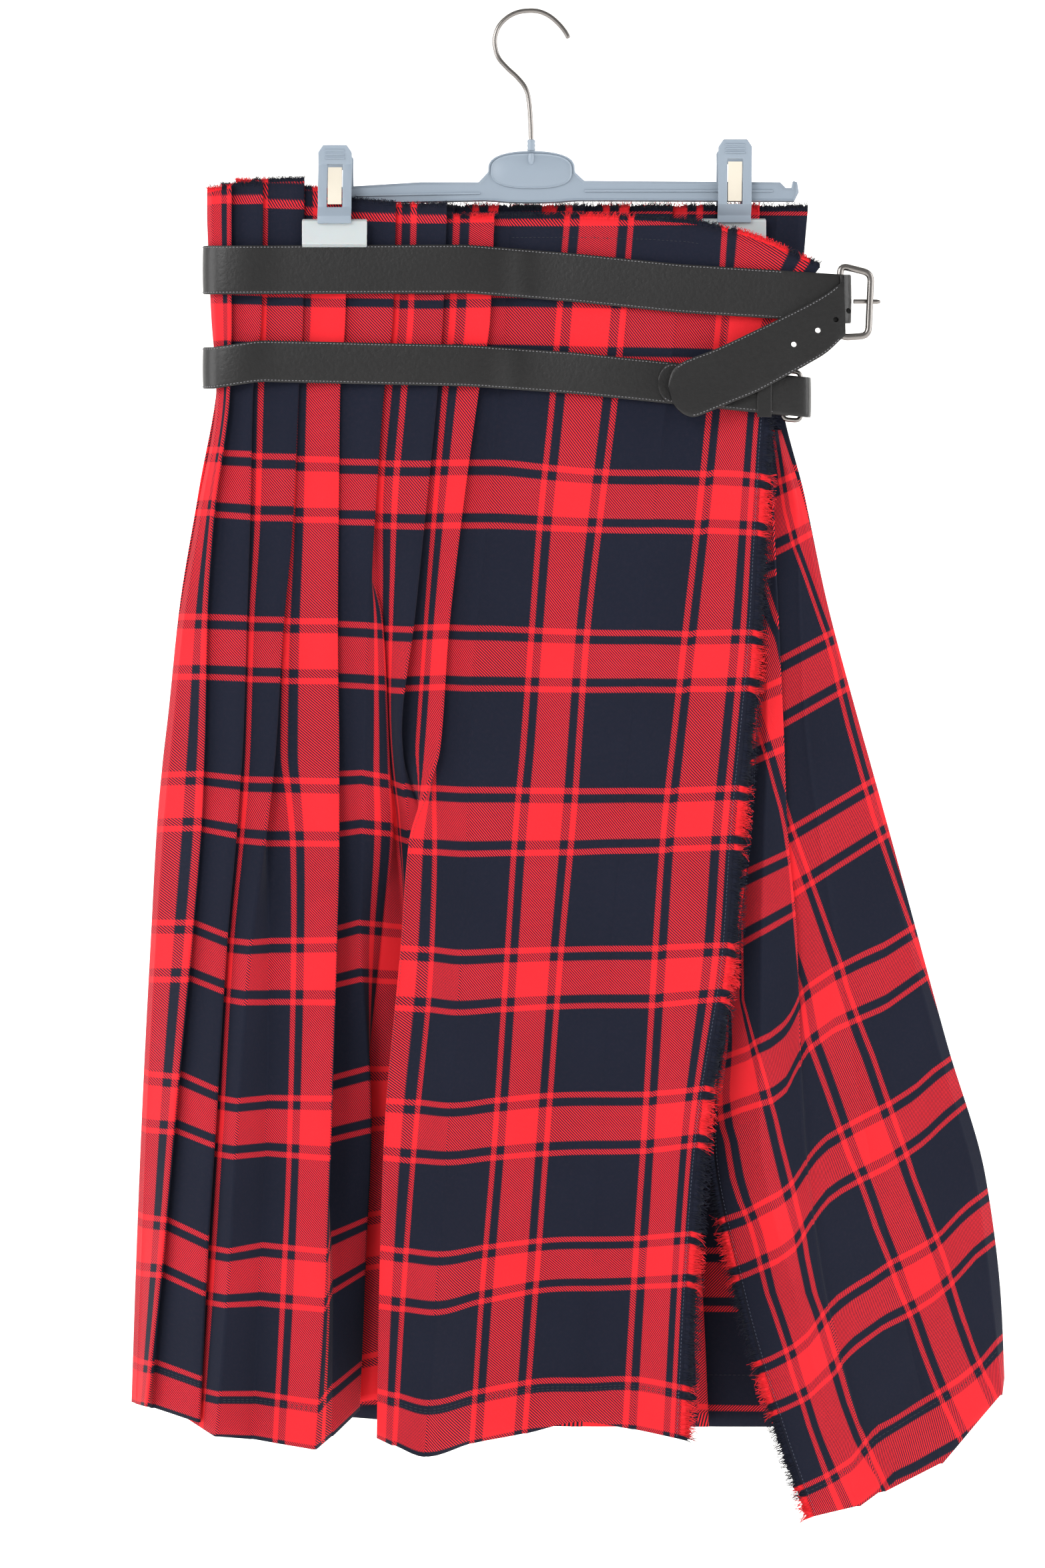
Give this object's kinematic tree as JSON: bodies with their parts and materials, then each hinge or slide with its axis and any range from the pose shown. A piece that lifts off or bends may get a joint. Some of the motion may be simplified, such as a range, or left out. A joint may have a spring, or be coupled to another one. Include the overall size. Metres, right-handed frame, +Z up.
{
  "type": "long tartan wrap kilt on a clip hanger",
  "caption": "Long tartan wrap kilt with pressed side pleats, frayed wrap edges and sewn-on leather straps, hung flat by its waist on a clip hanger.",
  "frame": {"origin": "inside top of the hanger's hook, where it rests on a rail", "axes": "+Z up, +X to the right as the front is seen, the front faces -Y"},
  "size_m": [0.6116, 0.1356, 1.0469],
  "materials": {
    "tartan": "red and near-black twill check",
    "fringe": "frayed woollen threads",
    "strap": "black, smooth, satin",
    "metal": "bright nickel",
    "grey_plastic": "blue-grey, satin",
    "beige_plastic": "pale beige",
    "clear_pad": "milky white"
  },
  "bodies": {
    "root": {"over_apron": "tartan", "pleats_front": "tartan", "pleats_back": "tartan", "under_apron": "tartan", "fringe_over_apron": "fringe", "fringe_under_apron": "fringe", "fringe_waist_front": "fringe", "fringe_waist_back": "fringe", "strap_upper": "strap", "strap_upper_tongue": "strap", "strap_lower": "strap", "strap_lower_tongue": "strap", "keeper_lower": "strap", "buckle_upper": "metal", "prong_upper": "metal", "buckle_lower": "metal", "hanger_bar": "grey_plastic", "hanger_collar": "grey_plastic", "hanger_hook": "metal", "clip_left_front": "grey_plastic", "clip_left_back": "grey_plastic", "clip_left_spring": "beige_plastic", "clip_left_front_pad": "clear_pad", "clip_left_back_pad": "clear_pad", "clip_right_front": "grey_plastic", "clip_right_back": "grey_plastic", "clip_right_spring": "beige_plastic", "clip_right_front_pad": "clear_pad", "clip_right_back_pad": "clear_pad"}
  },
  "joints": []
}
